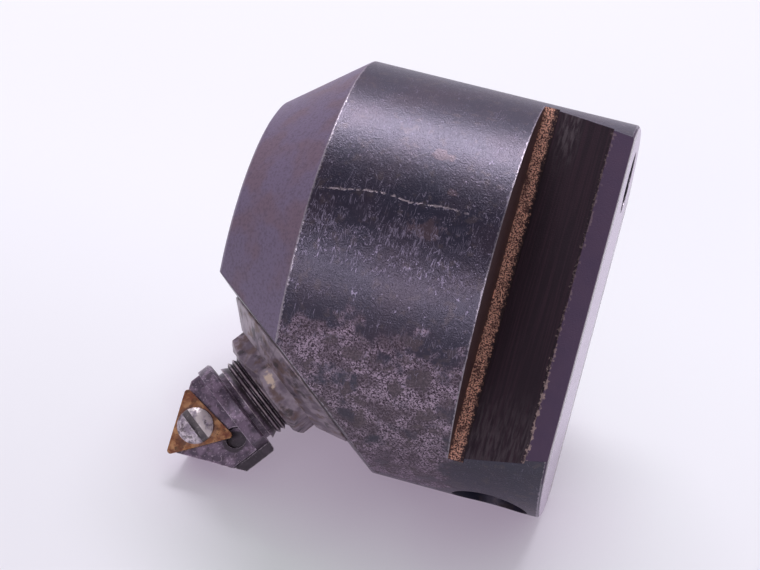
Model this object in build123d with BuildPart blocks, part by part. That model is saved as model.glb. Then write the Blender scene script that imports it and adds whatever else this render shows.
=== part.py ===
from build123d import *
from math import cos, radians, sin, sqrt, tan
import os

os.makedirs("parts", exist_ok=True)

# Frame: the origin is the centre of the rear face, +Z runs along the spindle axis towards the nose.
# The cartridge leans towards -X and the drive flat faces -Y, which is also the insert's rake side.

# Body, turned about the spindle axis
body_d = 92.0
body_length = 62.35
nose_length = 18.0
nose_d = 63.6
rear_chamfer = 0.6
nose_chamfer = 0.8

# Slide tongue at the rear: the hole for the mating slide's nut post, and the adjusting screw's bore
post_seat_d = 14.5
post_seat_depth = 5.5
post_hole_d = 13.0
post_hole_x = 34.0
post_hole_extra = 1.5
screw_bore_z = 11.55
screw_recess_d = 17.5
screw_recess_depth = 6.5
collar_bore_d = 16.0
collar_bore_depth = 10.0
screw_bore_extra = 2.5

# Flanks of the tongue: a groove along the front wall, a sloping floor, and a raised band at the rear
flat_front_z = 21.45
groove_width = 3.5
groove_offset = 20.6
groove_round = 0.5
floor_offset = 22.0
floor_slope = 14.0
band_length = 4.95
band_step = 0.8

# Cartridge axis, which crosses the spindle axis, and the facet square to it
tool_angle = 53.13
tool_cross_z = 42.35
facet_edge_z = 39.183

# Guide bushing in the facet's bore, with its key between its two retaining screws.
# The spacing shares out the bushing's free length below its flange: gap, screw, gap, key, gap, screw, gap.
bushing_length = 27.0
bushing_wall = 2.5
flange_step = 2.0
flange_thickness = 3.0
mouth_depth = 4.6
key_d = 5.0
key_recess = 0.6
retainer_d = 6.0
retainer_bite = 1.2
spacing = (2.0, 1.5, 1.0, 2.5)
retainer_recess = 0.5
retainer_socket = 3.0
retainer_socket_depth = 3.0

# Cartridge
shank_d = 18.0
shank_setback = 0.6
tail_d = 10.0
thread_d = 19.8
thread_pitch = 1.27
thread_root_share = 0.6134
thread_crest_share = 0.125
thread_top = 13.2
thread_bottom = -3.0
neck_length = 1.3
neck_d = 18.0
head_d = 24.8
head_chamfer = 0.5
keyway_depth = 2.2
travel_in = 1.0

# Insert, its pocket and the relief faces round it
insert_circle_d = 9.525
insert_thickness = 3.18
insert_nose_r = 0.8
insert_relief = 11.0
insert_hole_d = 4.4
insert_corner = 60.0
insert_angle = 60.0
insert_height = 25.65
insert_side = 3.1
rake_shoulder = 17.8
rake_flat_depth = 1.0
side_step_offset = 9.8
side_step_depth = 2.6
corner_relief_d = 5.0
corner_relief_extra = 0.4
front_gap = 0.35
flank_gap = 0.4
flank_relief = 9.0

# Insert screw
insert_screw_d = 4.0
insert_screw_length = 9.5
insert_screw_head_d = 8.4
insert_screw_edge = 0.7
insert_screw_head = 2.2
insert_slot_width = 1.6
insert_slot_depth = 1.2

# Dial nut
dial_d = 41.6
dial_rim = 0.4
dial_top_d = 28.0
hub_wall = 1.5
dial_height = 3.9
nut_height = 8.5
nut_flats = 24.0
nut_turn = 32.7
nut_chamfer = 30.0
nut_mouth_chamfer = 0.7
hub_length = 3.0

# Wiper seal under the dial
seal_ring_d = 36.0
seal_section_d = 1.4

# Spring stack, washer and nut on the cartridge's tail
spring_count = 6
spring_d = 20.0
spring_thickness = 0.8
spring_cone = 0.45
washer_d = 20.0
washer_thickness = 1.5
tail_nut_d = 18.0
tail_nut_height = 5.0
tail_nut_slot = 3.0
tail_nut_slot_depth = 2.0
tail_stand_out = 0.4
tail_bore_d = 22.0

# Adjusting screw of the slide, and the ring that holds its collar
screw_shank_d = 10.0
screw_end_setback = 2.0
screw_chamfer = 1.0
collar_length = 4.0
screw_socket = 6.0
screw_socket_depth = 6.0
ring_length = 4.5
ring_hole_d = 9.0
ring_pin_hole_d = 2.0
ring_pin_circle_d = 12.5
ring_pin_hole_depth = 3.0

# Clearances: the radial fits, and the gaps between faces
running_fit = 0.03
hub_fit = 0.05
screw_fit = 0.03
collar_fit = 0.06
spring_fit = 0.2
pocket_gap = 0.08
seat_gap = 0.02
dial_gap = 0.05
end_gap = 0.5

# Values worked out from the sizes above
body_r = body_d / 2
nose_z = body_length + nose_length
tool_dir = Vector(-sin(radians(tool_angle)), 0, cos(radians(tool_angle)))
side_dir = Vector(cos(radians(tool_angle)), 0, sin(radians(tool_angle)))
rake_dir = Vector(0, -1, 0)
facet_distance = Vector(-body_r, 0, facet_edge_z - tool_cross_z).dot(tool_dir)
nut_bore_r = thread_d / 2 + hub_fit
mouth_d = 2 * (nut_bore_r + hub_wall + hub_fit)
bushing_d = mouth_d + 2 * bushing_wall
flange_d = bushing_d + 2 * flange_step
spacing_unit = (bushing_length - flange_thickness - 2 * retainer_d - key_d) / sum(spacing)
upper_retainer = flange_thickness + spacing[0] * spacing_unit + retainer_d / 2
key_depth = upper_retainer + (retainer_d + key_d) / 2 + spacing[1] * spacing_unit
lower_retainer = key_depth + (retainer_d + key_d) / 2 + spacing[2] * spacing_unit
retainer_depths = (upper_retainer, lower_retainer)
shank_depth = bushing_length - travel_in - shank_setback
post_hole_depth = screw_bore_z + screw_shank_d / 2 + post_hole_extra
screw_bore_end = post_hole_x + post_hole_d / 2 + screw_bore_extra
facet_centre = Vector(0, 0, tool_cross_z) + tool_dir * facet_distance
tool_axis = Axis(facet_centre, tool_dir)
spring_pitch = spring_cone + spring_thickness + seat_gap
washer_top = -bushing_length - spring_count * spring_pitch - seat_gap
tail_nut_top = washer_top - washer_thickness - seat_gap
tail_end = tail_nut_top - tail_nut_height - tail_stand_out
bore_depth = -tail_end + travel_in + end_gap
insert_dir = Vector(-sin(radians(insert_angle)), 0, cos(radians(insert_angle)))
insert_centre = facet_centre + tool_dir * insert_height + side_dir * insert_side
tip = insert_centre + insert_dir * (insert_circle_d - insert_nose_r)
head_top = insert_height + insert_circle_d


def tool_plane(height):
    """A plane square to the cartridge axis, at a height above the facet."""
    return Plane(origin=facet_centre + tool_dir * height, x_dir=side_dir, z_dir=tool_dir)


def profile_plane(depth=0.0):
    """A plane along the cartridge axis: its x is the radius, its y the height above the facet."""
    return Plane(origin=facet_centre - rake_dir * depth, x_dir=side_dir, z_dir=rake_dir)


def back_plane(height, distance):
    """A plane facing +Y, at a height above the facet and a distance behind the cartridge axis."""
    origin = facet_centre + tool_dir * height - rake_dir * distance
    return Plane(origin=origin, x_dir=side_dir, z_dir=-rake_dir)


def screw_plane(depth):
    """A plane square to the adjusting screw's axis, at a depth from its mouth in the body's side."""
    return Plane(origin=(-body_r + depth, 0, screw_bore_z), x_dir=(0, 1, 0), z_dir=(1, 0, 0))


def retainer_end(depth):
    """Distance from the cartridge axis to the outer end of a retaining screw, just under the surface."""
    offset = -(facet_centre - tool_dir * depth).X + retainer_d / 2
    return sqrt(body_r**2 - offset**2) - retainer_recess


# Head body: one turned and milled piece
with BuildPart() as head_body:
    with BuildSketch(Plane.XZ):
        with BuildLine():
            Polyline(
                (0, 0),
                (body_r - rear_chamfer, 0),
                (body_r, rear_chamfer),
                (body_r, body_length),
                (nose_d / 2, nose_z),
                (0, nose_z),
                close=True,
            )
        make_face()
    revolve(axis=Axis.Z)
    nose_rim = head_body.edges().filter_by(GeomType.CIRCLE).sort_by(Axis.Z)[-1]
    chamfer(nose_rim, nose_chamfer)

    # Facet square to the cartridge axis
    split(bisect_by=tool_plane(0), keep=Keep.BOTTOM)

    # Tongue across the whole body: both flanks are milled to the same shape
    floor_end_z = flat_front_z - groove_width
    floor_rise = tan(radians(floor_slope))
    band_offset = floor_offset + (floor_end_z - band_length) * floor_rise
    rear_offset = band_offset + band_step + band_length * floor_rise
    with BuildSketch(Plane.YZ):
        with BuildLine():
            Polyline(
                (-body_d, flat_front_z),
                (-groove_offset, flat_front_z),
                (-groove_offset, floor_end_z),
                (-floor_offset, floor_end_z),
                (-band_offset, band_length),
                (-band_offset - band_step, band_length),
                (-rear_offset, 0),
                (-rear_offset, -rear_chamfer),
                (-body_d, -rear_chamfer),
                close=True,
            )
        corners = make_face().vertices().sort_by(Axis.Z)[-2:].sort_by(Axis.Y)[-1]
        fillet(corners, groove_round)
        mirror(about=Plane.YZ)
    extrude(amount=body_d, both=True, mode=Mode.SUBTRACT)

    # Stepped bore for the guide bushing and the cartridge's tail
    with BuildSketch(profile_plane()):
        with BuildLine():
            Polyline(
                (0, flange_thickness),
                (flange_d / 2 + screw_fit, flange_thickness),
                (flange_d / 2 + screw_fit, -flange_thickness),
                (bushing_d / 2 + screw_fit, -flange_thickness),
                (bushing_d / 2 + screw_fit, -bushing_length - end_gap),
                (tail_bore_d / 2, -bushing_length - end_gap),
                (tail_bore_d / 2, -bore_depth),
                (0, -bore_depth),
                close=True,
            )
        make_face()
    revolve(axis=tool_axis, mode=Mode.SUBTRACT)

    # Groove of the dial's seal
    with BuildSketch(tool_plane(0)):
        Circle((seal_ring_d + seal_section_d) / 2 + hub_fit)
        Circle((seal_ring_d - seal_section_d) / 2 - hub_fit, mode=Mode.SUBTRACT)
    extrude(amount=-seal_section_d - 2 * hub_fit, mode=Mode.SUBTRACT)

    # Holes for the bushing's retaining screws
    for depth in retainer_depths:
        with BuildSketch(back_plane(-depth, bushing_d / 2 - retainer_bite)):
            Circle(retainer_d / 2 + screw_fit)
        extrude(amount=body_r, mode=Mode.SUBTRACT)

    # Stepped hole for the nut post in the rear face, deep enough for the adjusting screw to cross it
    for diameter, depth in ((post_seat_d, post_seat_depth), (post_hole_d, post_hole_depth)):
        with BuildSketch(Plane.XY):
            with Locations((post_hole_x, 0)):
                Circle(diameter / 2)
        extrude(amount=depth, mode=Mode.SUBTRACT)

    # Stepped bore of the adjusting screw, from the cutter's side along the tongue
    with BuildSketch(screw_plane(0)):
        Circle(screw_recess_d / 2)
    extrude(amount=screw_recess_depth, mode=Mode.SUBTRACT)
    with BuildSketch(screw_plane(screw_recess_depth)):
        Circle(collar_bore_d / 2)
    extrude(amount=collar_bore_depth, mode=Mode.SUBTRACT)
    with BuildSketch(screw_plane(screw_recess_depth + collar_bore_depth)):
        Circle(screw_shank_d / 2 + running_fit)
    extrude(amount=screw_bore_end + body_r - screw_recess_depth - collar_bore_depth, mode=Mode.SUBTRACT)
head_body.part.label = "head_body"
export_step(head_body.part, "parts/head_body.step")

# Guide bushing: a flanged sleeve that the cartridge slides in
with BuildPart() as guide_bushing:
    with BuildSketch(profile_plane()):
        with BuildLine():
            Polyline(
                (mouth_d / 2, 0),
                (flange_d / 2, 0),
                (flange_d / 2, -flange_thickness + seat_gap),
                (bushing_d / 2, -flange_thickness + seat_gap),
                (bushing_d / 2, -bushing_length),
                (shank_d / 2 + running_fit, -bushing_length),
                (shank_d / 2 + running_fit, -mouth_depth),
                (mouth_d / 2, -mouth_depth),
                close=True,
            )
        make_face()
    revolve(axis=tool_axis)
    with BuildSketch(back_plane(-key_depth, shank_d / 2 - keyway_depth)):
        Circle(key_d / 2 + screw_fit)
    extrude(amount=bushing_d / 2, mode=Mode.SUBTRACT)
    for depth in retainer_depths:
        with BuildSketch(back_plane(-depth, bushing_d / 2 - retainer_bite)):
            Circle(retainer_d / 2 + screw_fit)
        extrude(amount=bushing_d / 2, mode=Mode.SUBTRACT)
guide_bushing.part.label = "guide_bushing"
export_step(guide_bushing.part, "parts/guide_bushing.step")

# Guide key: a round pin in the bushing's wall whose end runs in the cartridge's keyway
key_start = shank_d / 2 - keyway_depth + running_fit
with BuildPart() as guide_key:
    with BuildSketch(back_plane(-key_depth, key_start)):
        Circle(key_d / 2)
    extrude(amount=bushing_d / 2 - key_recess - key_start)
guide_key.part.label = "guide_key"
export_step(guide_key.part, "parts/guide_key.step")

# Retaining screws: socket set screws from the back of the body into the bushing
for number, depth in enumerate(retainer_depths, start=1):
    screw_start = bushing_d / 2 - retainer_bite + seat_gap
    screw_end = retainer_end(depth)
    with BuildPart() as retaining_screw:
        with BuildSketch(back_plane(-depth, screw_start)):
            Circle(retainer_d / 2)
        extrude(amount=screw_end - screw_start)
        ends = retaining_screw.edges().filter_by(GeomType.CIRCLE)
        chamfer(ends, retainer_recess)
        with BuildSketch(back_plane(-depth, screw_end)):
            RegularPolygon(retainer_socket / 2, 6, major_radius=False)
        extrude(amount=-retainer_socket_depth, mode=Mode.SUBTRACT)
    retaining_screw.part.label = f"retaining_screw_{number}"
    export_step(retaining_screw.part, f"parts/retaining_screw_{number}.step")

# Cartridge: tail, keyed shank, thread and tool head on one axis.
# The thread is drawn as rings at the real pitch, because the cartridge itself never turns.
thread_root_r = thread_d / 2 - thread_root_share * thread_pitch
crest = thread_pitch * thread_crest_share
ring_count = int((thread_top - thread_bottom - crest) / thread_pitch)
with BuildPart() as cartridge:
    with BuildSketch(profile_plane()):
        with BuildLine():
            thread_points = []
            for ring in range(ring_count):
                foot = thread_bottom + ring * thread_pitch
                thread_points.append((thread_d / 2, foot))
                thread_points.append((thread_d / 2, foot + crest))
                thread_points.append((thread_root_r, foot + (crest + thread_pitch) / 2))
            Polyline(
                (0, tail_end),
                (tail_d / 2, tail_end),
                (tail_d / 2, -shank_depth),
                (shank_d / 2, -shank_depth),
                (shank_d / 2, thread_bottom),
                *thread_points,
                (thread_d / 2, thread_top),
                (neck_d / 2, thread_top),
                (neck_d / 2, thread_top + neck_length),
                (head_d / 2 - head_chamfer, thread_top + neck_length),
                (head_d / 2, thread_top + neck_length + head_chamfer),
                (head_d / 2, head_top),
                (0, head_top),
                close=True,
            )
        make_face()
    revolve(axis=tool_axis)

    # Rake flat, milled down to just under the insert's face
    with BuildSketch(profile_plane(rake_flat_depth)):
        with Locations((0, (rake_shoulder + head_top + head_d) / 2)):
            Rectangle(2 * head_d, head_top + head_d - rake_shoulder)
    extrude(amount=head_d, mode=Mode.SUBTRACT)

    # Lower step milled along the head's side, past the straight edge of the rake flat
    with BuildSketch(tool_plane(thread_top + neck_length)):
        with Locations((-side_step_offset - head_d / 2, side_step_depth - head_d)):
            Rectangle(head_d, 2 * head_d)
    extrude(amount=head_top - thread_top, mode=Mode.SUBTRACT)

    # Front and flank relief, just behind the insert's cutting edges
    front_angle = radians(insert_angle - insert_corner)
    front_out = Vector(-sin(front_angle), 0, cos(front_angle))
    relief = radians(insert_relief)
    front_normal = front_out * cos(relief) - rake_dir * sin(relief)
    front_origin = insert_centre + front_out * (insert_circle_d / 2 - front_gap)
    split(bisect_by=Plane(origin=front_origin, z_dir=front_normal), keep=Keep.BOTTOM)
    flank = radians(flank_relief)
    flank_normal = Vector(-cos(flank), sin(flank), 0)
    flank_origin = Vector(tip.X + flank_gap, 0, tip.Z)
    split(bisect_by=Plane(origin=flank_origin, z_dir=flank_normal), keep=Keep.BOTTOM)

    # Insert pocket, its corner relief and the tapped hole
    insert_plane = Plane(origin=insert_centre, x_dir=insert_dir, z_dir=-rake_dir)
    with BuildSketch(insert_plane):
        RegularPolygon(insert_circle_d + 2 * pocket_gap, 3)
    extrude(amount=insert_thickness, taper=insert_relief, mode=Mode.SUBTRACT)
    with BuildSketch(insert_plane):
        with PolarLocations(insert_circle_d, 1, start_angle=-2 * insert_corner):
            Circle(corner_relief_d / 2)
    extrude(amount=insert_thickness + corner_relief_extra, mode=Mode.SUBTRACT)
    with BuildSketch(insert_plane):
        Circle(insert_screw_d / 2 + screw_fit)
    extrude(amount=insert_screw_length + seat_gap, mode=Mode.SUBTRACT)

    # Keyway along the back of the shank, open at its inner end
    keyway_top = -key_depth + key_d / 2 + travel_in + end_gap
    keyway_length = keyway_top + shank_depth
    with BuildSketch(back_plane(-shank_depth, shank_d / 2 - keyway_depth)):
        with Locations((0, -keyway_length / 2)):
            Rectangle(key_d + 2 * running_fit, keyway_length)
    extrude(amount=shank_d / 2, mode=Mode.SUBTRACT)
cartridge.part.label = "cartridge"
export_step(cartridge.part, "parts/cartridge.step")

# Cutting insert: positive triangular insert with a through hole
with BuildPart() as cutting_insert:
    with BuildSketch(insert_plane):
        triangle = RegularPolygon(insert_circle_d, 3)
        fillet(triangle.vertices(), insert_nose_r)
    extrude(amount=insert_thickness - seat_gap, taper=insert_relief)
    with BuildSketch(insert_plane):
        Circle(insert_hole_d / 2)
    extrude(amount=insert_thickness, mode=Mode.SUBTRACT)
cutting_insert.part.label = "cutting_insert"
export_step(cutting_insert.part, "parts/cutting_insert.step")

# Insert screw: domed slotted head that bears on the insert's face
with BuildPart() as insert_screw:
    with BuildSketch(Plane(origin=insert_centre, x_dir=side_dir, z_dir=-tool_dir)):
        with BuildLine():
            dome = TangentArc(
                (0, insert_screw_head),
                (insert_screw_head_d / 2, insert_screw_edge),
                tangent=(1, 0),
            )
            Polyline(
                dome @ 1,
                (insert_screw_head_d / 2, seat_gap),
                (insert_screw_d / 2, seat_gap),
                (insert_screw_d / 2, -insert_screw_length),
                (0, -insert_screw_length),
                dome @ 0,
            )
        make_face()
    revolve(axis=Axis(insert_centre, rake_dir))
    slot_origin = insert_centre + rake_dir * insert_screw_head
    with BuildSketch(Plane(origin=slot_origin, x_dir=side_dir, z_dir=-rake_dir)):
        Rectangle(2 * insert_screw_head_d, insert_slot_width)
    extrude(amount=insert_slot_depth, mode=Mode.SUBTRACT)
insert_screw.part.label = "insert_screw"
export_step(insert_screw.part, "parts/insert_screw.step")

# Dial nut: hub, flared dial skirt and hexagon in one piece
hex_corner_r = nut_flats / 2 / cos(radians(30))
with BuildPart() as dial_nut:
    with BuildSketch(profile_plane()):
        with BuildLine():
            Polyline(
                (nut_bore_r, -hub_length),
                (mouth_d / 2 - hub_fit, -hub_length),
                (mouth_d / 2 - hub_fit, dial_gap),
                (dial_d / 2, dial_gap),
                (dial_d / 2, dial_gap + dial_rim),
                (dial_top_d / 2, dial_height),
                (nut_bore_r, dial_height),
                close=True,
            )
        make_face()
    revolve(axis=tool_axis)
    with BuildSketch(tool_plane(dial_height)):
        RegularPolygon(nut_flats / 2, 6, major_radius=False, rotation=nut_turn)
        Circle(nut_bore_r, mode=Mode.SUBTRACT)
    extrude(amount=nut_height - dial_height)

    # Corner chamfer of the hexagon, and the countersink at the thread's mouth
    chamfer_r = nut_flats / 2 - nut_mouth_chamfer
    chamfer_drop = (hex_corner_r + nut_mouth_chamfer - chamfer_r) * tan(radians(nut_chamfer))
    with BuildSketch(profile_plane()):
        with BuildLine():
            Polyline(
                (chamfer_r, nut_height),
                (hex_corner_r + nut_mouth_chamfer, nut_height),
                (hex_corner_r + nut_mouth_chamfer, nut_height - chamfer_drop),
                close=True,
            )
        make_face()
        with BuildLine():
            Polyline(
                (nut_bore_r, nut_height),
                (nut_bore_r + nut_mouth_chamfer, nut_height),
                (nut_bore_r, nut_height - nut_mouth_chamfer),
                close=True,
            )
        make_face()
    revolve(axis=tool_axis, mode=Mode.SUBTRACT)
dial_nut.part.label = "dial_nut"
export_step(dial_nut.part, "parts/dial_nut.step")

# Dial seal: a round ring in the facet's groove
with BuildPart() as dial_seal:
    with BuildSketch(profile_plane()):
        with Locations((seal_ring_d / 2, -seal_section_d / 2 - hub_fit)):
            Circle(seal_section_d / 2)
    revolve(axis=tool_axis)
dial_seal.part.label = "dial_seal"
export_step(dial_seal.part, "parts/dial_seal.step")

# Disc springs: dished washers stacked in turn, face to face, on the cartridge's tail
for number in range(1, spring_count + 1):
    foot = -bushing_length - number * spring_pitch
    inner_lift = spring_cone if number % 2 else 0.0
    outer_lift = spring_cone - inner_lift
    with BuildPart() as disc_spring:
        with BuildSketch(profile_plane()):
            with BuildLine():
                Polyline(
                    (tail_d / 2 + spring_fit, foot + inner_lift),
                    (spring_d / 2, foot + outer_lift),
                    (spring_d / 2, foot + outer_lift + spring_thickness),
                    (tail_d / 2 + spring_fit, foot + inner_lift + spring_thickness),
                    close=True,
                )
            make_face()
        revolve(axis=tool_axis)
    disc_spring.part.label = f"disc_spring_{number}"
    export_step(disc_spring.part, f"parts/disc_spring_{number}.step")

# Thrust washer between the springs and the tail nut
with BuildPart() as thrust_washer:
    with BuildSketch(tool_plane(washer_top)):
        Circle(washer_d / 2)
        Circle(tail_d / 2 + screw_fit, mode=Mode.SUBTRACT)
    extrude(amount=-washer_thickness)
thrust_washer.part.label = "thrust_washer"
export_step(thrust_washer.part, "parts/thrust_washer.step")

# Tail nut: round nut with four spanner slots
with BuildPart() as tail_nut:
    with BuildSketch(tool_plane(tail_nut_top)):
        Circle(tail_nut_d / 2)
        Circle(tail_d / 2 + screw_fit, mode=Mode.SUBTRACT)
    extrude(amount=-tail_nut_height)
    with BuildSketch(tool_plane(tail_nut_top)):
        with PolarLocations(tail_nut_d / 2, 4):
            Rectangle(2 * tail_nut_slot_depth, tail_nut_slot)
    extrude(amount=-tail_nut_height, mode=Mode.SUBTRACT)
tail_nut.part.label = "tail_nut"
export_step(tail_nut.part, "parts/tail_nut.step")

# Adjusting screw: its collar turns against the bore's shoulder, its thread crosses the post's hole
collar_end = screw_recess_depth + collar_bore_depth - seat_gap
collar_start = collar_end - collar_length
screw_end = screw_bore_end + body_r - screw_end_setback
with BuildPart() as adjusting_screw:
    with BuildSketch(screw_plane(collar_start)):
        Circle(collar_bore_d / 2 - collar_fit)
    extrude(amount=collar_length)
    with BuildSketch(screw_plane(collar_end)):
        Circle(screw_shank_d / 2)
    extrude(amount=screw_end - collar_end)
    chamfer(adjusting_screw.edges().filter_by(GeomType.CIRCLE).sort_by(Axis.X)[-1], screw_chamfer)
    with BuildSketch(screw_plane(collar_start)):
        RegularPolygon(screw_socket / 2, 6, major_radius=False)
    extrude(amount=screw_socket_depth, mode=Mode.SUBTRACT)
adjusting_screw.part.label = "adjusting_screw"
export_step(adjusting_screw.part, "parts/adjusting_screw.step")

# Screw retainer: a threaded ring with two pin holes, which leaves the screw's socket open
with BuildPart() as screw_retainer:
    with BuildSketch(screw_plane(collar_start - dial_gap)):
        Circle(collar_bore_d / 2 - screw_fit)
        Circle(ring_hole_d / 2, mode=Mode.SUBTRACT)
    extrude(amount=-ring_length)
    with BuildSketch(screw_plane(collar_start - dial_gap - ring_length)):
        with PolarLocations(ring_pin_circle_d / 2, 2):
            Circle(ring_pin_hole_d / 2)
    extrude(amount=ring_pin_hole_depth, mode=Mode.SUBTRACT)
screw_retainer.part.label = "screw_retainer"
export_step(screw_retainer.part, "parts/screw_retainer.step")
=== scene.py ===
from math import cos, radians, sin

import bpy
from mathutils import Matrix, Vector

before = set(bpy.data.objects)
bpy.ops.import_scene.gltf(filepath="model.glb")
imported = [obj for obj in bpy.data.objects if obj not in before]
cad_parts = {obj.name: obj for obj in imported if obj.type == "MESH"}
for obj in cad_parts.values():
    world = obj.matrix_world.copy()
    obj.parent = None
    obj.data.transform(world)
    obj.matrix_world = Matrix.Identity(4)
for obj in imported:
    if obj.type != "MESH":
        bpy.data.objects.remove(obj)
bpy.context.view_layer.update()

# Frame of the part: metres, origin at the centre of the rear face, +Z towards the nose.
# The shaders work in millimetres of the same frame.

# Sizes of the head that the shaders need, in millimetres
BODY_R = 46.0
CONE_Z = 62.35
FLAT_Z = 21.45
GROOVE_Z = 17.95
BAND_Z = 4.95
GROOVE_Y = 20.6
TOOL_ANGLE = radians(53.13)
TOOL_DIR = Vector((-sin(TOOL_ANGLE), 0.0, cos(TOOL_ANGLE)))
SIDE_DIR = Vector((cos(TOOL_ANGLE), 0.0, sin(TOOL_ANGLE)))
FACET = Vector((0.0, 0.0, 42.35)) + TOOL_DIR * 34.9
INSERT = FACET + TOOL_DIR * 25.65 + SIDE_DIR * 3.1
INSERT_SLOT_HALF = 0.8
DIAL_LINES = 50.0
FULL_TURN = 6.2832

# Places of marks, read off the photo: round the cylinder, along it, and half widths, in millimetres
LOW_STAINS = [
    (-102.8, 30.2, 2.6, 3.0), (-100.9, 45.0, 1.6, 2.8), (-117.9, 41.6, 3.4, 1.5),
    (-106.5, 35.0, 2.2, 1.6), (-99.0, 50.7, 1.6, 1.6), (-111.0, 27.5, 1.8, 2.2),
    (-109.5, 45.5, 1.7, 1.2), (-95.0, 33.5, 1.5, 2.2),
]
BROWN_PATCHES = [(-52.5, 38.0, 1.4, 3.0), (-61.0, 33.5, 0.9, 1.0), (-71.0, 36.0, 2.2, 4.0)]
SCRATCHED_WRAP = -78.0
DENSE_WRAP = -76.0
LONG_SCRATCH_WRAP = -68.9
LONG_SCRATCH_START = CONE_Z - 1.0
LONG_SCRATCH_LENGTH = 39.0
LONG_SCRATCH_SWING = 3.9
LONG_SCRATCH_GAP = 0.385
LONG_SCRATCH_WAVER = [
    (0.0, 0.36), (0.13, 0.57), (0.33, 0.92), (0.42, 0.92), (0.49, 0.8),
    (0.6, 0.9), (0.72, 1.0), (0.85, 0.92), (1.0, 0.7),
]

# Marks on the cartridge and its dial, measured from the middle of the facet
STEP_SIDE = -9.74
RELIEF_SIDE = -5.0
RELIEF_TOOL = 20.7
# Place of the painted highlight on the dial nut's corner
LIT_CORNER_SIDE = -1.6
LIT_CORNER_HEIGHT = 5.6


class Paint:
    """One procedural material, built from the row frame's coordinates in millimetres."""

    def __init__(self, name):
        self.material = bpy.data.materials.new(name)
        self.material.use_nodes = True
        self.tree = self.material.node_tree
        self.tree.nodes.clear()
        output = self.add("ShaderNodeOutputMaterial")
        self.shader = self.add("ShaderNodeBsdfPrincipled")
        self.tree.links.new(self.shader.outputs[0], output.inputs[0])
        coordinates = self.add("ShaderNodeTexCoord")
        self.point = self.scaled(coordinates.outputs["Object"], 1000.0)
        parts = self.add("ShaderNodeSeparateXYZ")
        self.feed(parts.inputs[0], self.point)
        self.x, self.y, self.z = parts.outputs

    def add(self, kind):
        return self.tree.nodes.new(kind)

    def feed(self, socket, value):
        """Links an output to a socket, or sets a constant on it."""
        if isinstance(value, bpy.types.NodeSocket):
            self.tree.links.new(value, socket)
        else:
            socket.default_value = value

    def calc(self, operation, *values):
        node = self.add("ShaderNodeMath")
        node.operation = operation
        for socket, value in zip(node.inputs, values):
            self.feed(socket, value)
        return node.outputs[0]

    def plus(self, first, *others):
        for other in others:
            first = self.calc("ADD", first, other)
        return first

    def minus(self, first, second):
        return self.calc("SUBTRACT", first, second)

    def times(self, first, *others):
        for other in others:
            first = self.calc("MULTIPLY", first, other)
        return first

    def distance(self, first, second):
        return self.calc("ABSOLUTE", self.minus(first, second))

    def largest(self, first, *others):
        for other in others:
            first = self.calc("MAXIMUM", first, other)
        return first

    def step(self, value, start, end):
        """Smooth step: 0 at start, 1 at end, which may be the lower of the two."""
        node = self.add("ShaderNodeMapRange")
        node.interpolation_type = "SMOOTHSTEP"
        self.feed(node.inputs[0], value)
        self.feed(node.inputs[1], start)
        self.feed(node.inputs[2], end)
        return node.outputs[0]

    def scaled(self, vector, factor):
        node = self.add("ShaderNodeVectorMath")
        node.operation = "SCALE"
        self.feed(node.inputs[0], vector)
        self.feed(node.inputs["Scale"], factor)
        return node.outputs[0]

    def along(self, direction):
        """Distance of the point from the row's origin, measured along a direction."""
        node = self.add("ShaderNodeVectorMath")
        node.operation = "DOT_PRODUCT"
        self.feed(node.inputs[0], self.point)
        node.inputs[1].default_value = direction
        return node.outputs["Value"]

    def vector(self, x, y, z):
        node = self.add("ShaderNodeCombineXYZ")
        self.feed(node.inputs[0], x)
        self.feed(node.inputs[1], y)
        self.feed(node.inputs[2], z)
        return node.outputs[0]

    def noise(self, size, detail=2.0, seed=0.0, stretch=(1.0, 1.0, 1.0), turn=0.0, vector=None, warp=0.0):
        """Noise with features about size millimetres across, stretched along the axes by stretch."""
        mapping = self.add("ShaderNodeMapping")
        mapping.inputs["Location"].default_value = (seed * 7.31, seed * 3.17, seed * 5.71)
        mapping.inputs["Rotation"].default_value = (0.0, 0.0, turn)
        mapping.inputs["Scale"].default_value = [1.0 / (size * share) for share in stretch]
        self.feed(mapping.inputs["Vector"], self.point if vector is None else vector)
        node = self.add("ShaderNodeTexNoise")
        self.feed(node.inputs["Vector"], mapping.outputs[0])
        node.inputs["Scale"].default_value = 1.0
        node.inputs["Detail"].default_value = detail
        node.inputs["Distortion"].default_value = warp
        return node.outputs[0]

    def lines(self, width, *args, **words):
        """Thin winding lines: where a noise crosses its middle value."""
        return self.step(self.distance(self.noise(*args, **words), 0.5), width, 0.0)

    def patches(self, low, high, *args, **words):
        """Patches where a noise is over a threshold."""
        return self.step(self.noise(*args, **words), low, high)

    def blots(self, wrap, places, seed):
        """Ragged blots round places given as wrap, z and half widths along both, in millimetres."""
        ragged = self.times(self.minus(self.noise(1.7, 4.0, seed=seed), 0.5), 2.2)
        found = 0.0
        for place_wrap, place_z, half_wrap, half_z in places:
            across = self.calc("DIVIDE", self.distance(wrap, place_wrap), half_wrap)
            along = self.calc("DIVIDE", self.distance(self.z, place_z), half_z)
            reach = self.calc("SQRT", self.plus(self.times(across, across), self.times(along, along)))
            found = self.largest(self.step(self.plus(reach, ragged), 1.05, 0.75), found)
        return found

    def curve(self, value, points):
        """A value read from a smooth curve through points, both axes already between 0 and 1."""
        node = self.add("ShaderNodeFloatCurve")
        line = node.mapping.curves[0]
        line.points[0].location = points[0]
        line.points[1].location = points[-1]
        for place in points[1:-1]:
            line.points.new(*place)
        node.mapping.update()
        self.feed(node.inputs["Value"], value)
        return node.outputs[0]

    def mix(self, amount, first, second):
        node = self.add("ShaderNodeMix")
        node.data_type = "RGBA"
        self.feed(node.inputs[0], amount)
        self.feed(node.inputs[6], rgba(first))
        self.feed(node.inputs[7], rgba(second))
        return node.outputs[2]

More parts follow.
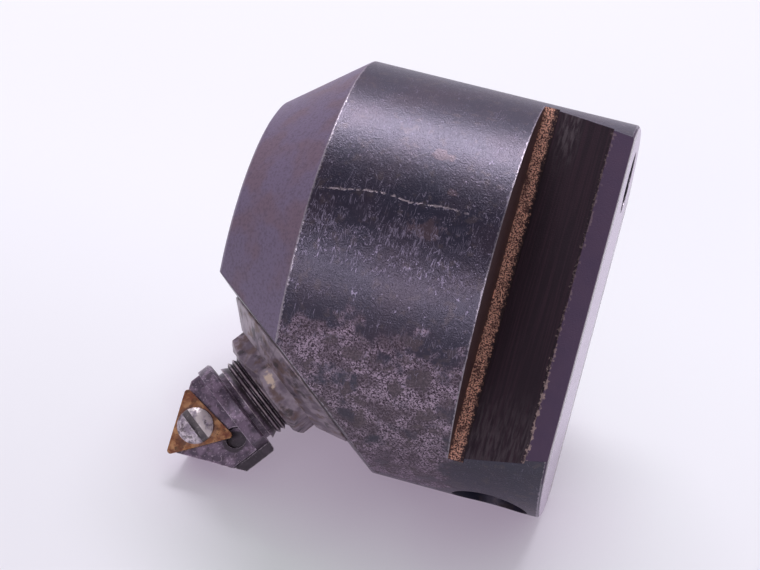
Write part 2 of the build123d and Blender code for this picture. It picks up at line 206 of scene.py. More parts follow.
    def blend(self, amount, first, second):
        """A number between first and second."""
        node = self.add("ShaderNodeMix")
        self.feed(node.inputs[0], amount)
        self.feed(node.inputs[2], first)
        self.feed(node.inputs[3], second)
        return node.outputs[0]

    def worn_edge(self, radius, low, high):
        """Where the surface lies within radius millimetres of a sharp edge."""
        bevel = self.add("ShaderNodeBevel")
        bevel.samples = 6
        bevel.inputs["Radius"].default_value = radius / 1000.0
        geometry = self.add("ShaderNodeNewGeometry")
        node = self.add("ShaderNodeVectorMath")
        node.operation = "DOT_PRODUCT"
        self.feed(node.inputs[0], bevel.outputs[0])
        self.feed(node.inputs[1], geometry.outputs["True Normal"])
        return self.step(node.outputs["Value"], high, low)

    def normal(self, height, depth, edge=0.25):
        """Bumps of a depth in millimetres on top of slightly rounded edges."""
        bevel = self.add("ShaderNodeBevel")
        bevel.samples = 4
        bevel.inputs["Radius"].default_value = edge / 1000.0
        bump = self.add("ShaderNodeBump")
        bump.inputs["Strength"].default_value = 1.0
        bump.inputs["Distance"].default_value = depth / 1000.0
        self.feed(bump.inputs["Height"], height)
        self.feed(bump.inputs["Normal"], bevel.outputs[0])
        self.feed(self.shader.inputs["Normal"], bump.outputs[0])

    def finish(self, color, roughness, metallic=0.0, ior=1.5):
        self.feed(self.shader.inputs["Base Color"], rgba(color))
        self.feed(self.shader.inputs["Roughness"], roughness)
        self.feed(self.shader.inputs["Metallic"], metallic)
        self.feed(self.shader.inputs["IOR"], ior)


def rgba(color):
    """A colour socket or constant as the shader nodes take it."""
    if isinstance(color, bpy.types.NodeSocket):
        return color
    return (*color, 1.0)


# Body
def body_paint():
    """Black oxide worn to grey, with scratches, stains and rust in the flat's groove."""
    p = Paint("worn_black_oxide")
    radius = p.calc("SQRT", p.plus(p.times(p.x, p.x), p.times(p.y, p.y)))
    turn = p.calc("ARCTAN2", p.y, p.x)
    wrap = p.times(turn, BODY_R)
    skin = p.vector(wrap, p.z, radius)
    above_facet = p.minus(p.along(TOOL_DIR), FACET.dot(TOOL_DIR))

    # Where the point lies: 1 on the face, 0 elsewhere
    on_facet = p.step(above_facet, -0.12, -0.06)
    outside = p.step(radius, BODY_R - 0.25, BODY_R - 0.1)
    on_cone = p.times(p.step(p.z, CONE_Z - 0.02, CONE_Z + 0.02), p.minus(1.0, on_facet))
    flank = p.calc("ABSOLUTE", p.y)
    in_flat = p.times(
        p.step(p.z, FLAT_Z + 0.08, FLAT_Z + 0.02),
        p.step(flank, GROOVE_Y - 0.5, GROOVE_Y - 0.3),
        p.step(radius, BODY_R - 0.02, BODY_R - 0.1),
    )
    on_rear = p.step(p.z, 0.25, 0.05)
    in_groove = p.times(
        in_flat,
        p.step(p.z, GROOVE_Z - 0.05, GROOVE_Z + 0.05),
        p.step(flank, GROOVE_Y + 0.7, GROOVE_Y + 0.4),
    )
    on_wall = p.times(in_flat, p.step(p.z, FLAT_Z - 0.25, FLAT_Z - 0.1))
    on_band = p.times(in_flat, p.step(p.z, BAND_Z + 0.05, BAND_Z - 0.02), p.step(p.z, 0.1, 0.2))

    # Blue-black oxide with purple clouds and olive-brown specks
    clouds = p.patches(0.38, 0.66, 14.0, 3.0, seed=1.0)
    fine = p.noise(0.35, 4.0, seed=2.0)
    color = p.mix(clouds, (0.008, 0.009, 0.025), (0.020, 0.012, 0.026))
    color = p.mix(p.times(p.patches(0.55, 0.68, 2.2, 4.0, seed=3.0), 0.55), color, (0.055, 0.040, 0.040))
    roughness = p.blend(fine, 0.24, 0.44)
    metallic = 0.35

    # Purple-grey cone, plainer than the cylinder
    cone_color = p.mix(
        p.patches(0.42, 0.62, 9.0, 3.0, seed=4.0),
        (0.180, 0.138, 0.215),
        (0.185, 0.120, 0.158),
    )
    cone_color = p.mix(
        p.times(p.patches(0.46, 0.66, 0.6, 3.0, seed=4.5), 0.45),
        cone_color,
        (0.06, 0.042, 0.064),
    )
    color = p.mix(p.times(on_cone, 0.85), color, cone_color)
    roughness = p.blend(p.times(on_cone, 0.8), roughness, 0.5)

    # Lower front: oxide rubbed down to lavender-grey metal, with dark brown stains left on it
    low_front = p.times(p.step(wrap, -82.0, -106.0), p.step(p.z, 15.0, 27.0), outside)
    rubbed = p.step(p.plus(p.noise(6.0, 4.0, seed=5.0), p.times(low_front, 0.34)), 0.66, 0.80)
    rubbed = p.times(rubbed, outside)
    grain = p.patches(0.40, 0.62, 0.42, 4.0, seed=6.0, warp=0.8)
    rubbed_color = p.mix(grain, (0.030, 0.015, 0.022), (0.50, 0.39, 0.48))
    rubbed_color = p.mix(
        p.times(p.patches(0.44, 0.62, 4.0, 4.0, seed=6.5), 0.7),
        rubbed_color,
        (0.060, 0.040, 0.048),
    )
    small_stains = p.times(p.patches(0.60, 0.63, 2.6, 4.0, seed=7.6, warp=0.6), low_front)
    stains = p.times(p.largest(p.blots(wrap, LOW_STAINS, 7.0), small_stains), outside)
    color = p.mix(p.times(rubbed, 0.85), color, rubbed_color)
    brown = p.times(p.blots(wrap, BROWN_PATCHES, 7.8), outside)
    color = p.mix(p.times(brown, 0.6), color, (0.085, 0.050, 0.052))
    color = p.mix(p.times(stains, 0.85), color, p.mix(grain, (0.020, 0.008, 0.009), (0.060, 0.034, 0.036)))

    # Short scratches in all directions, thickest in the middle of the cylinder
    middle = p.plus(0.35, p.times(p.step(p.distance(wrap, SCRATCHED_WRAP), 34.0, 4.0), 0.65))
    dense = p.times(
        p.step(p.distance(wrap, DENSE_WRAP), 9.0, 3.0),
        p.patches(0.44, 0.56, 1.7, 3.0, seed=12.2),
        p.step(p.z, 20.0, 32.0),
    )
    scratches = p.largest(
        p.times(
            p.lines(0.020, 0.9, 0.0, seed=8.0, stretch=(6.0, 1.0, 1.0), turn=0.2, vector=skin),
            p.patches(0.56, 0.62, 2.4, 2.0, seed=9.0),
        ),
        p.times(
            p.lines(0.024, 0.9, 0.0, seed=10.0, stretch=(6.0, 1.0, 1.0), turn=0.9, vector=skin),
            p.patches(0.57, 0.62, 2.8, 2.0, seed=11.0),
        ),
        p.times(
            p.lines(0.024, 0.9, 0.0, seed=12.0, stretch=(6.0, 1.0, 1.0), turn=-0.7, vector=skin),
            p.patches(0.57, 0.63, 2.6, 2.0, seed=13.0),
        ),
        p.times(
            p.lines(0.060, 0.5, 0.0, seed=12.7, stretch=(5.0, 1.0, 1.0), turn=0.7, vector=skin),
            dense,
            0.8,
        ),
        p.times(
            p.lines(0.060, 0.5, 0.0, seed=12.9, stretch=(5.0, 1.0, 1.0), turn=-0.5, vector=skin),
            dense,
            0.8,
        ),
    )
    specks = p.patches(0.60, 0.68, 0.34, 2.0, seed=14.0)
    marks = p.times(
        p.largest(scratches, p.times(specks, p.patches(0.46, 0.6, 3.0, 3.0, seed=14.5), 0.7)),
        middle,
        outside,
    )
    color = p.mix(p.times(marks, 0.75), color, (0.36, 0.32, 0.42))

    # One long pale scratch across the dark band, wavering along the cylinder
    share = p.calc("DIVIDE", p.minus(LONG_SCRATCH_START, p.z), LONG_SCRATCH_LENGTH)
    waver = p.curve(share, LONG_SCRATCH_WAVER)
    scratch_wrap = p.plus(LONG_SCRATCH_WRAP, p.times(waver, LONG_SCRATCH_SWING))
    jitter = p.times(p.minus(p.noise(0.9, 3.0, seed=15.0), 0.5), 1.1)
    across = p.distance(p.plus(wrap, jitter), scratch_wrap)
    reach = p.times(
        p.step(share, 0.0, 0.05),
        p.step(share, 0.96, 0.60),
        p.step(p.distance(share, LONG_SCRATCH_GAP), 0.008, 0.03),
    )
    long_scratch = p.times(
        p.step(across, 0.32, 0.06),
        reach,
        p.patches(0.38, 0.5, 1.1, 3.0, seed=16.0),
        outside,
    )
    color = p.mix(p.times(long_scratch, 0.85), color, (0.50, 0.43, 0.45))

    # Bright worn rims: cone edge, edge of the flat, rear edge and nose edge
    ragged = p.times(p.minus(p.noise(0.8, 3.0, seed=17.0), 0.5), 1.1)
    rim_cone = p.step(p.plus(p.distance(p.z, CONE_Z), ragged), 0.36, 0.1)
    rim_flat = p.times(
        p.step(p.plus(p.distance(p.z, FLAT_Z), ragged), 0.4, 0.12),
        p.step(flank, GROOVE_Y - 0.2, GROOVE_Y + 0.2),
    )
    rim_rear = p.step(p.plus(p.distance(p.z, 0.3), ragged), 0.5, 0.2)
    rim_facet = p.step(p.plus(p.distance(above_facet, 0.0), ragged), 0.34, 0.1)
    rims = p.times(p.largest(rim_cone, rim_flat, rim_rear, rim_facet), outside)
    color = p.mix(p.times(rims, 0.8), color, (0.36, 0.33, 0.36))

    # Drive flat: purple-brown floor with lines along it, grey where it is rubbed at its top end, and paler at
    # its bottom end as a painted reflection
    along_flat = p.noise(0.5, 3.0, seed=18.0, stretch=(40.0, 1.0, 1.0))
    floor_color = p.mix(p.step(along_flat, 0.4, 0.7), (0.012, 0.0045, 0.008), (0.026, 0.010, 0.016))
    top_end = p.times(p.step(p.x, 24.0, 38.0), p.step(p.distance(p.z, 14.5), 3.4, 1.0))
    # Painted reflection: the floor's bottom end is paler grey
    bottom_sheen = p.step(p.x, -20.0, -36.0)
    streaks = p.patches(0.36, 0.66, 0.6, 4.0, seed=19.0, stretch=(5.0, 1.0, 1.0))
    rubbed_floor_and_sheen = p.times(p.largest(top_end, p.times(bottom_sheen, 0.55)), streaks)
    floor_color = p.mix(p.times(rubbed_floor_and_sheen, 0.7), floor_color, (0.105, 0.085, 0.09))
    floor_color = p.mix(on_wall, floor_color, (0.055, 0.026, 0.024))
    band_color = p.mix(p.noise(5.0, 3.0, seed=20.0), (0.062, 0.042, 0.082), (0.090, 0.056, 0.092))
    floor_color = p.mix(on_band, floor_color, band_color)

    # Rust along the groove, heaviest in its middle, over painted shade in the rest of the groove
    groove_middle = p.distance(p.z, 20.2)
    rust_reach = p.plus(groove_middle, p.times(p.minus(p.noise(0.8, 4.0, seed=21.0), 0.5), 3.0))
    rust = p.times(p.step(rust_reach, 1.9, 0.9), in_groove)
    rust_grain = p.times(
        p.patches(0.42, 0.58, 0.34, 3.0, seed=22.0),
        p.patches(0.22, 0.50, 1.6, 3.0, seed=22.5),
    )
    rust_color = p.mix(rust_grain, (0.085, 0.040, 0.034), (0.84, 0.46, 0.32))
    # Painted shade: the groove is dark outside the rust
    floor_color = p.mix(in_groove, floor_color, (0.022, 0.009, 0.009))
    floor_color = p.mix(rust, floor_color, rust_color)

    # Jagged bright and rusty edge of the step down from the band
    step_edge = p.step(
        p.plus(p.distance(p.z, BAND_Z), p.times(p.minus(p.noise(0.7, 3.0, seed=23.0), 0.5), 2.4)),
        0.5,
        0.1,
    )
    step_share = p.plus(0.3, p.times(p.step(p.x, 0.0, -26.0), 0.7))
    step_edge = p.times(step_edge, step_share, p.patches(0.42, 0.56, 1.6, 3.0, seed=24.0))
    floor_color = p.mix(step_edge, floor_color, (0.36, 0.27, 0.24))
    color = p.mix(in_flat, color, floor_color)
    roughness = p.blend(in_flat, roughness, 0.55)
    roughness = p.blend(rust, roughness, 0.85)
    roughness = p.blend(p.times(stains, 0.8), roughness, 0.7)
    roughness = p.blend(p.times(rubbed, 0.6), roughness, 0.5)

    # Rear face: bright ground steel
    ground = p.noise(0.4, 2.0, seed=25.0, stretch=(1.0, 14.0, 1.0))
    color = p.mix(p.times(on_rear, 0.9), color, p.mix(ground, (0.50, 0.46, 0.48), (0.72, 0.67, 0.70)))
    roughness = p.blend(on_rear, roughness, 0.25)

    # Facet behind the dial: grey-brown
    color = p.mix(p.times(on_facet, 0.8), color, p.mix(fine, (0.045, 0.036, 0.038), (0.085, 0.068, 0.070)))

    bright = p.largest(marks, rims, long_scratch, p.times(rubbed, 0.5), on_rear)
    metal = p.blend(bright, metallic, 0.9)
    metal = p.blend(p.largest(in_flat, stains), metal, 0.1)
    pits = p.patches(0.62, 0.75, 1.1, 3.0, seed=26.0)
    height = p.plus(
        p.times(fine, 1.7),
        p.times(marks, -0.7),
        p.times(pits, -0.6),
        p.times(rust, rust_grain, 2.0),
    )
    crinkle = p.times(
        p.distance(p.noise(1.2, 3.0, seed=28.0, warp=0.6), 0.5),
        p.times(p.blend(outside, 1.2, 3.6), p.patches(0.30, 0.66, 5.0, 3.0, seed=28.5)),
    )
    height = p.plus(
        height,
        crinkle,
        p.times(long_scratch, -0.8),
        p.times(p.noise(2.4, 3.0, seed=27.0), 0.9),
    )
    p.normal(height, 0.035)
    p.feed(p.shader.inputs["Specular Tint"], (0.95, 0.88, 1.0, 1.0))
    p.finish(color, roughness, metal, p.blend(in_flat, 1.9, 1.45))
    return p.material


# Cartridge, dial and small pieces
def cartridge_paint():
    """Purple-grey steel: dark thread roots, dark lower step and corner relief, bright worn edges."""
    p = Paint("cartridge_steel_worn")
    side = p.minus(p.along(SIDE_DIR), FACET.dot(SIDE_DIR))
    tool = p.minus(p.along(TOOL_DIR), FACET.dot(TOOL_DIR))
    radius = p.calc("SQRT", p.plus(p.times(side, side), p.times(p.y, p.y)))
    fine = p.noise(0.25, 4.0, seed=32.0)
    color = p.mix(p.patches(0.4, 0.62, 2.4, 4.0, seed=31.0), (0.080, 0.054, 0.086), (0.22, 0.155, 0.22))
    color = p.mix(p.times(p.patches(0.60, 0.66, 0.5, 3.0, seed=33.0), 0.6), color, (0.46, 0.38, 0.44))
    color = p.mix(p.times(p.patches(0.54, 0.64, 1.3, 4.0, seed=33.5), 0.6), color, (0.045, 0.026, 0.040))

    # Thread: darker in the roots, bright crests
    on_thread = p.step(tool, 13.5, 13.1)
    roots = p.times(on_thread, p.step(radius, 9.75, 9.35))
    crests = p.times(on_thread, p.step(radius, 9.72, 9.86), p.patches(0.36, 0.55, 1.2, 3.0, seed=34.0))
    color = p.mix(p.times(roots, 0.9), color, (0.022, 0.013, 0.014))
    color = p.mix(p.times(crests, 0.8), color, (0.52, 0.44, 0.42))

    # Lower step and corner relief lie in shade and hold dirt
    lower_step = p.times(
        p.step(side, STEP_SIDE + 0.04, STEP_SIDE - 0.04),
        p.step(p.y, 1.4, 2.0),
        p.step(tool, 13.0, 13.5),
    )
    relief_side = p.distance(side, RELIEF_SIDE)
    relief_tool = p.distance(tool, RELIEF_TOOL)
    relief_far = p.calc(
        "SQRT",
        p.plus(p.times(relief_side, relief_side), p.times(relief_tool, relief_tool)),
    )
    relief = p.times(p.step(relief_far, 2.9, 2.5), p.step(p.y, -2.2, -1.2))
    color = p.mix(p.times(p.largest(lower_step, relief), 0.85), color, (0.016, 0.009, 0.014))

    edges = p.times(p.worn_edge(0.35, 0.80, 0.97), p.patches(0.34, 0.56, 0.8, 3.0, seed=36.0))
    color = p.mix(p.times(edges, 0.85), color, (0.68, 0.60, 0.66))
    p.normal(p.plus(p.times(fine, 0.6), p.times(p.noise(1.6, 3.0, seed=37.0), 0.8)), 0.03, 0.2)
    p.finish(color, p.blend(fine, 0.3, 0.5), p.blend(edges, 0.5, 0.9), 1.9)
    return p.material


def dial_paint():
    """Grey steel with bronze tints, a painted highlight on the nut's corner facing the camera and faint
    graduations on the skirt.
    """
    p = Paint("dial_steel_worn")
    clouds = p.patches(0.4, 0.62, 3.4, 4.0, seed=41.0)
    fine = p.noise(0.25, 4.0, seed=42.0)
    color = p.mix(clouds, (0.19, 0.148, 0.185), (0.40, 0.335, 0.375))
    bronze = p.patches(0.5, 0.66, 2.6, 4.0, seed=43.0)
    color = p.mix(p.times(bronze, 0.7), color, (0.15, 0.082, 0.052))
    dark = p.patches(0.56, 0.68, 3.2, 4.0, seed=44.0)
    color = p.mix(p.times(dark, 0.75), color, (0.03, 0.024, 0.026))

    side = p.minus(p.along(SIDE_DIR), FACET.dot(SIDE_DIR))
    height = p.minus(p.along(TOOL_DIR), FACET.dot(TOOL_DIR))
    # Painted highlight: a bright warm patch on the nut's corner facing the camera
    lit_side = p.calc("DIVIDE", p.distance(side, LIT_CORNER_SIDE), 2.2)
    lit_height = p.calc("DIVIDE", p.distance(height, LIT_CORNER_HEIGHT), 1.3)
    lit_far = p.calc("SQRT", p.plus(p.times(lit_side, lit_side), p.times(lit_height, lit_height)))
    worn = p.times(
        p.step(p.plus(lit_far, p.times(p.minus(p.noise(1.0, 4.0, seed=47.0), 0.5), 2.0)), 1.0, 0.5),
        p.step(p.y, -8.0, -11.0),
    )
    color = p.mix(p.times(worn, 0.85), color, (0.86, 0.70, 0.52))

    # Graduations: short lines round the skirt
    radius = p.calc("SQRT", p.plus(p.times(side, side), p.times(p.y, p.y)))
    angle = p.calc("ARCTAN2", p.y, side)
    tooth = p.calc("FRACT", p.times(p.plus(angle, 3.2), DIAL_LINES / FULL_TURN))
    line = p.step(p.distance(tooth, 0.5), 0.10, 0.05)
    on_skirt = p.times(p.step(radius, 16.6, 16.9), p.step(height, 0.3, 0.5))
    color = p.mix(p.times(line, on_skirt, 0.22), color, (0.02, 0.018, 0.018))

    edges = p.times(p.worn_edge(0.4, 0.80, 0.97), p.patches(0.36, 0.56, 0.9, 3.0, seed=45.0))
    color = p.mix(p.times(edges, 0.8), color, (0.42, 0.38, 0.32))
    p.normal(p.plus(p.times(fine, 0.5), p.times(p.noise(1.8, 3.0, seed=46.0), 0.9)), 0.035, 0.25)
    p.finish(color, p.blend(fine, 0.34, 0.55), p.blend(edges, 0.5, 0.9), 1.8)
    return p.material


def screw_paint():
    """Worn bright steel, palest on its half towards the head as a painted highlight, with stains and a darker
    slot.
    """
    p = Paint("worn_slotted_screw")
    fine = p.noise(0.22, 4.0, seed=81.0)
    color = p.mix(p.patches(0.4, 0.6, 1.6, 4.0, seed=82.0), (0.30, 0.25, 0.30), (0.80, 0.72, 0.76))
    color = p.mix(p.times(p.patches(0.52, 0.62, 0.9, 4.0, seed=83.0), 0.7), color, (0.060, 0.036, 0.038))
    # Painted highlight: the half towards the head is palest
    lit_half = p.step(p.minus(p.along(TOOL_DIR), INSERT.dot(TOOL_DIR)), 0.2, -0.4)
    color = p.mix(
        p.times(lit_half, p.patches(0.30, 0.52, 1.4, 3.0, seed=82.5), 0.85),
        color,
        (1.0, 0.92, 0.86),
    )
    slot = p.step(
        p.distance(p.along(TOOL_DIR), INSERT.dot(TOOL_DIR)),
        INSERT_SLOT_HALF + 0.06,
        INSERT_SLOT_HALF - 0.06,
    )
    # The slot is darker, with paler patches
    slot_color = p.mix(p.patches(0.58, 0.66, 0.5, 3.0, seed=84.0), (0.028, 0.016, 0.018), (0.20, 0.16, 0.16))
    color = p.mix(p.times(slot, 0.92), color, slot_color)
    edges = p.times(p.worn_edge(0.2, 0.80, 0.97), p.patches(0.36, 0.56, 0.5, 3.0, seed=85.0))
    color = p.mix(p.times(edges, 0.6), color, (0.62, 0.58, 0.58))
    p.normal(p.plus(fine, p.times(p.noise(1.0, 3.0, seed=86.0), 1.5)), 0.03, 0.15)
    p.finish(color, p.blend(fine, 0.28, 0.48), p.blend(slot, 0.35, 0.1), 1.9)
    return p.material


def insert_paint():
    """Gold coating with burnt red-brown corners and brown stains round the screw."""
    p = Paint("gold_coating")
    fine = p.noise(0.22, 4.0, seed=51.0)
    color = p.mix(p.patches(0.4, 0.62, 1.6, 4.0, seed=52.0), (0.30, 0.125, 0.050), (0.50, 0.27, 0.12))
    color = p.mix(p.times(p.patches(0.5, 0.62, 1.9, 4.0, seed=53.0), 0.75), color, (0.095, 0.036, 0.018))
    color = p.mix(p.times(p.patches(0.6, 0.68, 0.7, 3.0, seed=54.0), 0.7), color, (0.05, 0.022, 0.014))
    side = p.minus(p.along(SIDE_DIR), INSERT.dot(SIDE_DIR))
    tool = p.minus(p.along(TOOL_DIR), INSERT.dot(TOOL_DIR))
    far = p.calc("SQRT", p.plus(p.times(side, side), p.times(tool, tool)))
    burnt = p.times(p.step(far, 4.6, 7.0), p.patches(0.40, 0.60, 1.2, 4.0, seed=55.0))
    color = p.mix(p.times(burnt, 0.8), color, (0.17, 0.040, 0.022))
    ring = p.times(p.step(far, 5.4, 4.4), p.patches(0.34, 0.58, 1.6, 3.0, seed=56.0))
    color = p.mix(p.times(ring, 0.6), color, (0.13, 0.060, 0.060))
    edges = p.worn_edge(0.18, 0.80, 0.96)
    color = p.mix(p.times(edges, 0.6), color, (0.60, 0.34, 0.14))
    p.normal(fine, 0.012, 0.12)
    p.finish(color, p.blend(fine, 0.38, 0.55), 0.7, 1.8)
    return p.material


def plain_paint(name, first, second, roughness, metallic=0.0, size=1.2, seed=0.0):
    """A two-tone grained finish for the inner pieces."""
    p = Paint(name)
    fine = p.noise(size, 4.0, seed=seed + 61.0)
    color = p.mix(p.step(fine, 0.35, 0.65), first, second)
    edges = p.times(p.worn_edge(0.25, 0.80, 0.97), 0.5)
    color = p.mix(edges, color, [min(1.0, shade * 1.8) for shade in second])
    p.normal(p.noise(0.3, 3.0, seed=seed + 62.0), 0.02, 0.15)
    p.finish(color, p.blend(fine, roughness - 0.08, roughness + 0.08), metallic)
    return p.material


paints = {
    "head_body": body_paint(),
    "dial_nut": dial_paint(),
    "cutting_insert": insert_paint(),
    "cartridge": cartridge_paint(),
    "insert_screw": screw_paint(),
    "guide_bushing": plain_paint(
        "ground_steel_fine",
        (0.30, 0.29, 0.30),
        (0.42, 0.41, 0.42),
        0.35,
        0.9,
        seed=1.0,
    ),
    "guide_key": plain_paint(
        "ground_steel_key",
        (0.30, 0.29, 0.30),
        (0.42, 0.41, 0.42),
        0.35,
        0.9,
        seed=2.0,
    ),
    "thrust_washer": plain_paint(
        "ground_steel_washer",
        (0.30, 0.29, 0.30),
        (0.42, 0.41, 0.42),
        0.35,
        0.9,
        seed=3.0,
    ),
    "retaining_screw_1": plain_paint(
        "black_screw_1",
        (0.02, 0.019, 0.023),
        (0.05, 0.045, 0.05),
        0.4,
        0.5,
        seed=4.0,
    ),
    "retaining_screw_2": plain_paint(
        "black_screw_2",
        (0.02, 0.019, 0.023),
        (0.05, 0.045, 0.05),
        0.4,
        0.5,
        seed=5.0,
    ),
    "tail_nut": plain_paint("black_nut", (0.02, 0.019, 0.023), (0.05, 0.045, 0.05), 0.4, 0.5, seed=6.0),
    "adjusting_screw": plain_paint(
        "black_adjusting_screw",
        (0.03, 0.024, 0.022),
        (0.08, 0.06, 0.05),
        0.5,
        0.5,
        seed=7.0,
    ),
    "screw_retainer": plain_paint(
        "black_retainer",
        (0.03, 0.022, 0.020),
        (0.09, 0.06, 0.048),
        0.5,
        0.5,
        seed=8.0,
    ),
    "dial_seal": plain_paint(
        "seal_rubber_black",
        (0.012, 0.012, 0.013),
        (0.03, 0.029, 0.03),
        0.65,
        seed=9.0,
    ),
}
for number in range(1, 7):
    paints[f"disc_spring_{number}"] = plain_paint(
        f"spring_steel_{number}", (0.05, 0.055, 0.09), (0.12, 0.12, 0.15), 0.35, 0.8, seed=10.0 + number
    )
for node, paint in paints.items():
    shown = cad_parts[node]
    for slot in shown.material_slots:
        slot.material = paint


# Floor: the head lies on its side, rolled until its cartridge touches the pale table
FLOOR_ROLL = radians(43.7)
FLOOR_NORMAL = Vector((cos(FLOOR_ROLL), -sin(FLOOR_ROLL), 0.0))
FLOOR_POINT = FLOOR_NORMAL * -0.0461
FLOOR_FRONT = 0.17
FLOOR_REACH = 3.0
FLOOR_GLOW = 0.475
# Reach of the painted contact shadow on the table, in metres
FLOOR_SHADOW_REACH = 0.03


def floor_material():
    """Pale table, paler to the camera and in reflections, with painted shade towards its front and a painted
    violet shadow close under the head, clear from behind.
    """
    p = Paint("pale_table")
    wash = p.noise(160.0, 2.0, seed=71.0)
    # Painted shade: the glow is dimmer towards the table's front
    shade = p.step(p.x, -110.0, 40.0)
    p.finish(p.mix(wash, (0.39, 0.375, 0.40), (0.415, 0.405, 0.43)), 0.6)
    # Painted contact shadow: ambient occlusion dims the glow and tints it violet close under the head
    painted_contact_shadow = p.add("ShaderNodeAmbientOcclusion")
    painted_contact_shadow.samples = 8
    painted_contact_shadow.inputs["Distance"].default_value = FLOOR_SHADOW_REACH
    painted_shadow_dimming = p.blend(painted_contact_shadow.outputs["AO"], 0.55, 1.0)
    glow = p.add("ShaderNodeEmission")
    painted_falloff_color = p.mix(shade, (0.745, 0.775, 0.79), (0.97, 1.01, 1.04))
    p.feed(glow.inputs["Color"], p.mix(painted_contact_shadow.outputs["AO"], (0.86, 0.66, 0.90), painted_falloff_color))
    path = p.add("ShaderNodeLightPath")
    seen = p.largest(
        path.outputs["Is Camera Ray"],
        path.outputs["Is Glossy Ray"],
        path.outputs["Is Transmission Ray"],
    )
    p.feed(glow.inputs["Strength"], p.times(seen, painted_shadow_dimming, FLOOR_GLOW))
    lit = p.add("ShaderNodeAddShader")
    p.tree.links.new(p.shader.outputs[0], lit.inputs[0])
    p.tree.links.new(glow.outputs[0], lit.inputs[1])
    geometry = p.add("ShaderNodeNewGeometry")
    clear = p.add("ShaderNodeBsdfTransparent")
    sides = p.add("ShaderNodeMixShader")
    output = next(node for node in p.tree.nodes if node.type == "OUTPUT_MATERIAL")
    p.feed(sides.inputs[0], geometry.outputs["Backfacing"])
    p.tree.links.new(lit.outputs[0], sides.inputs[1])
    p.tree.links.new(clear.outputs[0], sides.inputs[2])
    p.tree.links.new(sides.outputs[0], output.inputs[0])
    return p.material


def make_floor():
    """A sheet that reaches far behind and beside the head, and a hand's width in front of it."""
    mesh = bpy.data.meshes.new("table")
    away = Vector((0.0, 0.0, 1.0)).cross(FLOOR_NORMAL)
    if away.y < 0.0:
        away.negate()
    corners = []
    for along, across in (
        (-FLOOR_FRONT, -FLOOR_REACH),
        (FLOOR_REACH, -FLOOR_REACH),
        (FLOOR_REACH, FLOOR_REACH),
        (-FLOOR_FRONT, FLOOR_REACH),
    ):
        corners.append(FLOOR_POINT + away * along + Vector((0.0, 0.0, across)))
    faces = [(0, 1, 2, 3)]
    normal = (corners[1] - corners[0]).cross(corners[2] - corners[1])
    if normal.dot(FLOOR_NORMAL) < 0.0:
        faces = [(3, 2, 1, 0)]
    mesh.from_pydata(corners, [], faces)
    mesh.materials.append(floor_material())
    table = bpy.data.objects.new("table", mesh)
    bpy.context.scene.collection.objects.link(table)


make_floor()


# Light
LAMP_DISTANCE = 1.2
WINDOW_DIRECTION = (0.94, -0.30, 0.12)
WINDOW_COLOR = (0.95, 0.90, 1.0)
CEILING_DIRECTION = (-0.30, -0.94, 0.13)
CEILING_COLOR = (0.94, 0.87, 1.0)
ROOM_COLOR = (0.94, 0.86, 1.0)
BACKDROP_COLOR = (0.90, 0.89, 0.93)
ROOM_DIM_SIDE = Vector((0.235, -0.972, 0.0))
ROOM_LOW = 0.70
ROOM_HIGH = 0.16


def area_light(name, direction, distance, width, length, power, color=(1.0, 1.0, 1.0)):
    """A soft rectangular lamp facing the head, its long side along the spindle axis."""
    toward = Vector(direction).normalized()
    data = bpy.data.lights.new(name, "AREA")
    data.shape = "RECTANGLE"
    data.size = width
    data.size_y = length
    data.energy = power
    data.color = color
    lamp = bpy.data.objects.new(name, data)
    along = (Vector((0.0, 0.0, 1.0)) - toward * toward.z).normalized()
    side = along.cross(toward)
    lamp.matrix_world = Matrix.Translation(toward * distance) @ Matrix(
        (side, along, toward)
    ).transposed().to_4x4()
    bpy.context.scene.collection.objects.link(lamp)


area_light("window", WINDOW_DIRECTION, LAMP_DISTANCE, 0.26, 0.9, 12.4, WINDOW_COLOR)
area_light("ceiling", CEILING_DIRECTION, LAMP_DISTANCE, 0.30, 0.8, 4.2, CEILING_COLOR)


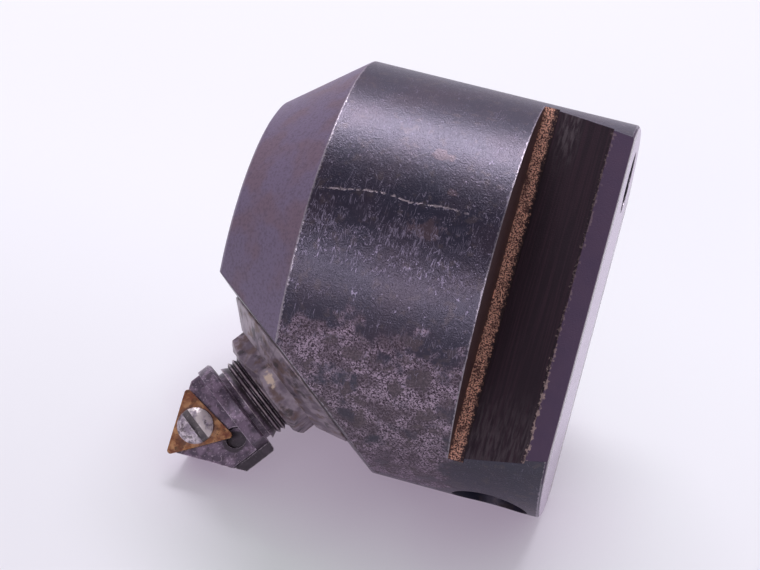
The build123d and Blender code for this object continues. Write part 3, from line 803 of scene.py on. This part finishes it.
def soft_room():
    """A dim room, dimmest on the camera's side, that shows to the camera as a pale backdrop."""
    world = bpy.data.worlds.new("soft_room")
    bpy.context.scene.world = world
    world.use_nodes = True
    tree = world.node_tree
    tree.nodes.clear()
    coordinates = tree.nodes.new("ShaderNodeTexCoord")
    height = tree.nodes.new("ShaderNodeVectorMath")
    height.operation = "DOT_PRODUCT"
    height.inputs[1].default_value = ROOM_DIM_SIDE
    tree.links.new(coordinates.outputs["Generated"], height.inputs[0])
    dim = tree.nodes.new("ShaderNodeMapRange")
    dim.inputs[1].default_value = 0.15
    dim.inputs[2].default_value = 0.75
    dim.inputs[3].default_value = ROOM_LOW
    dim.inputs[4].default_value = ROOM_HIGH
    tree.links.new(height.outputs["Value"], dim.inputs[0])
    room = tree.nodes.new("ShaderNodeBackground")
    room.inputs["Color"].default_value = rgba(ROOM_COLOR)
    tree.links.new(dim.outputs[0], room.inputs["Strength"])
    backdrop = tree.nodes.new("ShaderNodeBackground")
    backdrop.inputs["Color"].default_value = rgba(BACKDROP_COLOR)
    path = tree.nodes.new("ShaderNodeLightPath")
    choose = tree.nodes.new("ShaderNodeMixShader")
    output = tree.nodes.new("ShaderNodeOutputWorld")
    tree.links.new(path.outputs["Is Camera Ray"], choose.inputs[0])
    tree.links.new(room.outputs[0], choose.inputs[1])
    tree.links.new(backdrop.outputs[0], choose.inputs[2])
    tree.links.new(choose.outputs[0], output.inputs[0])


soft_room()

# Camera, worked out for a 760 by 570 picture
camera_data = bpy.data.cameras.new("camera")
camera_data.sensor_width = 36.0
camera_data.sensor_fit = "HORIZONTAL"
camera_data.lens = 103.94
camera_data.clip_end = 50.0
camera = bpy.data.objects.new("camera", camera_data)
right = Vector((0.27116, 0.08320, -0.95893))
up = Vector((0.94525, -0.21099, 0.24898))
back = Vector((-0.18161, -0.97394, -0.13586))
place = Matrix.Translation((-0.09593, -0.49349, -0.01973))
camera.matrix_world = place @ Matrix((right, up, back)).transposed().to_4x4()
bpy.context.scene.collection.objects.link(camera)
bpy.context.scene.camera = camera
bpy.context.scene.view_settings.view_transform = "Standard"
